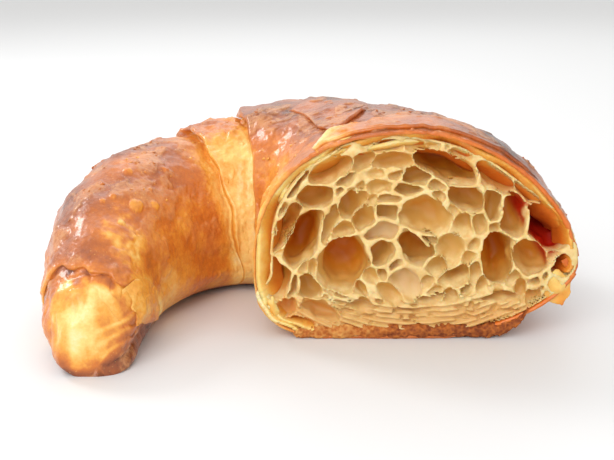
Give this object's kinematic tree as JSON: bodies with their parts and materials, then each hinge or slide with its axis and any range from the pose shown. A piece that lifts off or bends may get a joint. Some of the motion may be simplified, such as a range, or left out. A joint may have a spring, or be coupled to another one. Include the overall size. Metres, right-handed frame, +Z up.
{
  "type": "halved croissant",
  "caption": "Half of a butter croissant, cut across its thick middle, with a bent horn, stepped flaky rolls and open air cells in the cut.",
  "frame": {"origin": "centre of the bounding box's footprint, on the surface that the croissant rests on", "axes": "+Z up, -Y out of the cut face, +X along the cut face, away from the horn"},
  "size_m": [0.1206, 0.0963, 0.0498],
  "materials": {
    "baked_crust": "glazed golden brown baked crust, darker on the rolls and paler in the creases",
    "open_crumb": "pale cream to yellow crumb of thin waxy walls"
  },
  "bodies": {
    "root": {"halved_croissant": "baked_crust"}
  },
  "joints": []
}
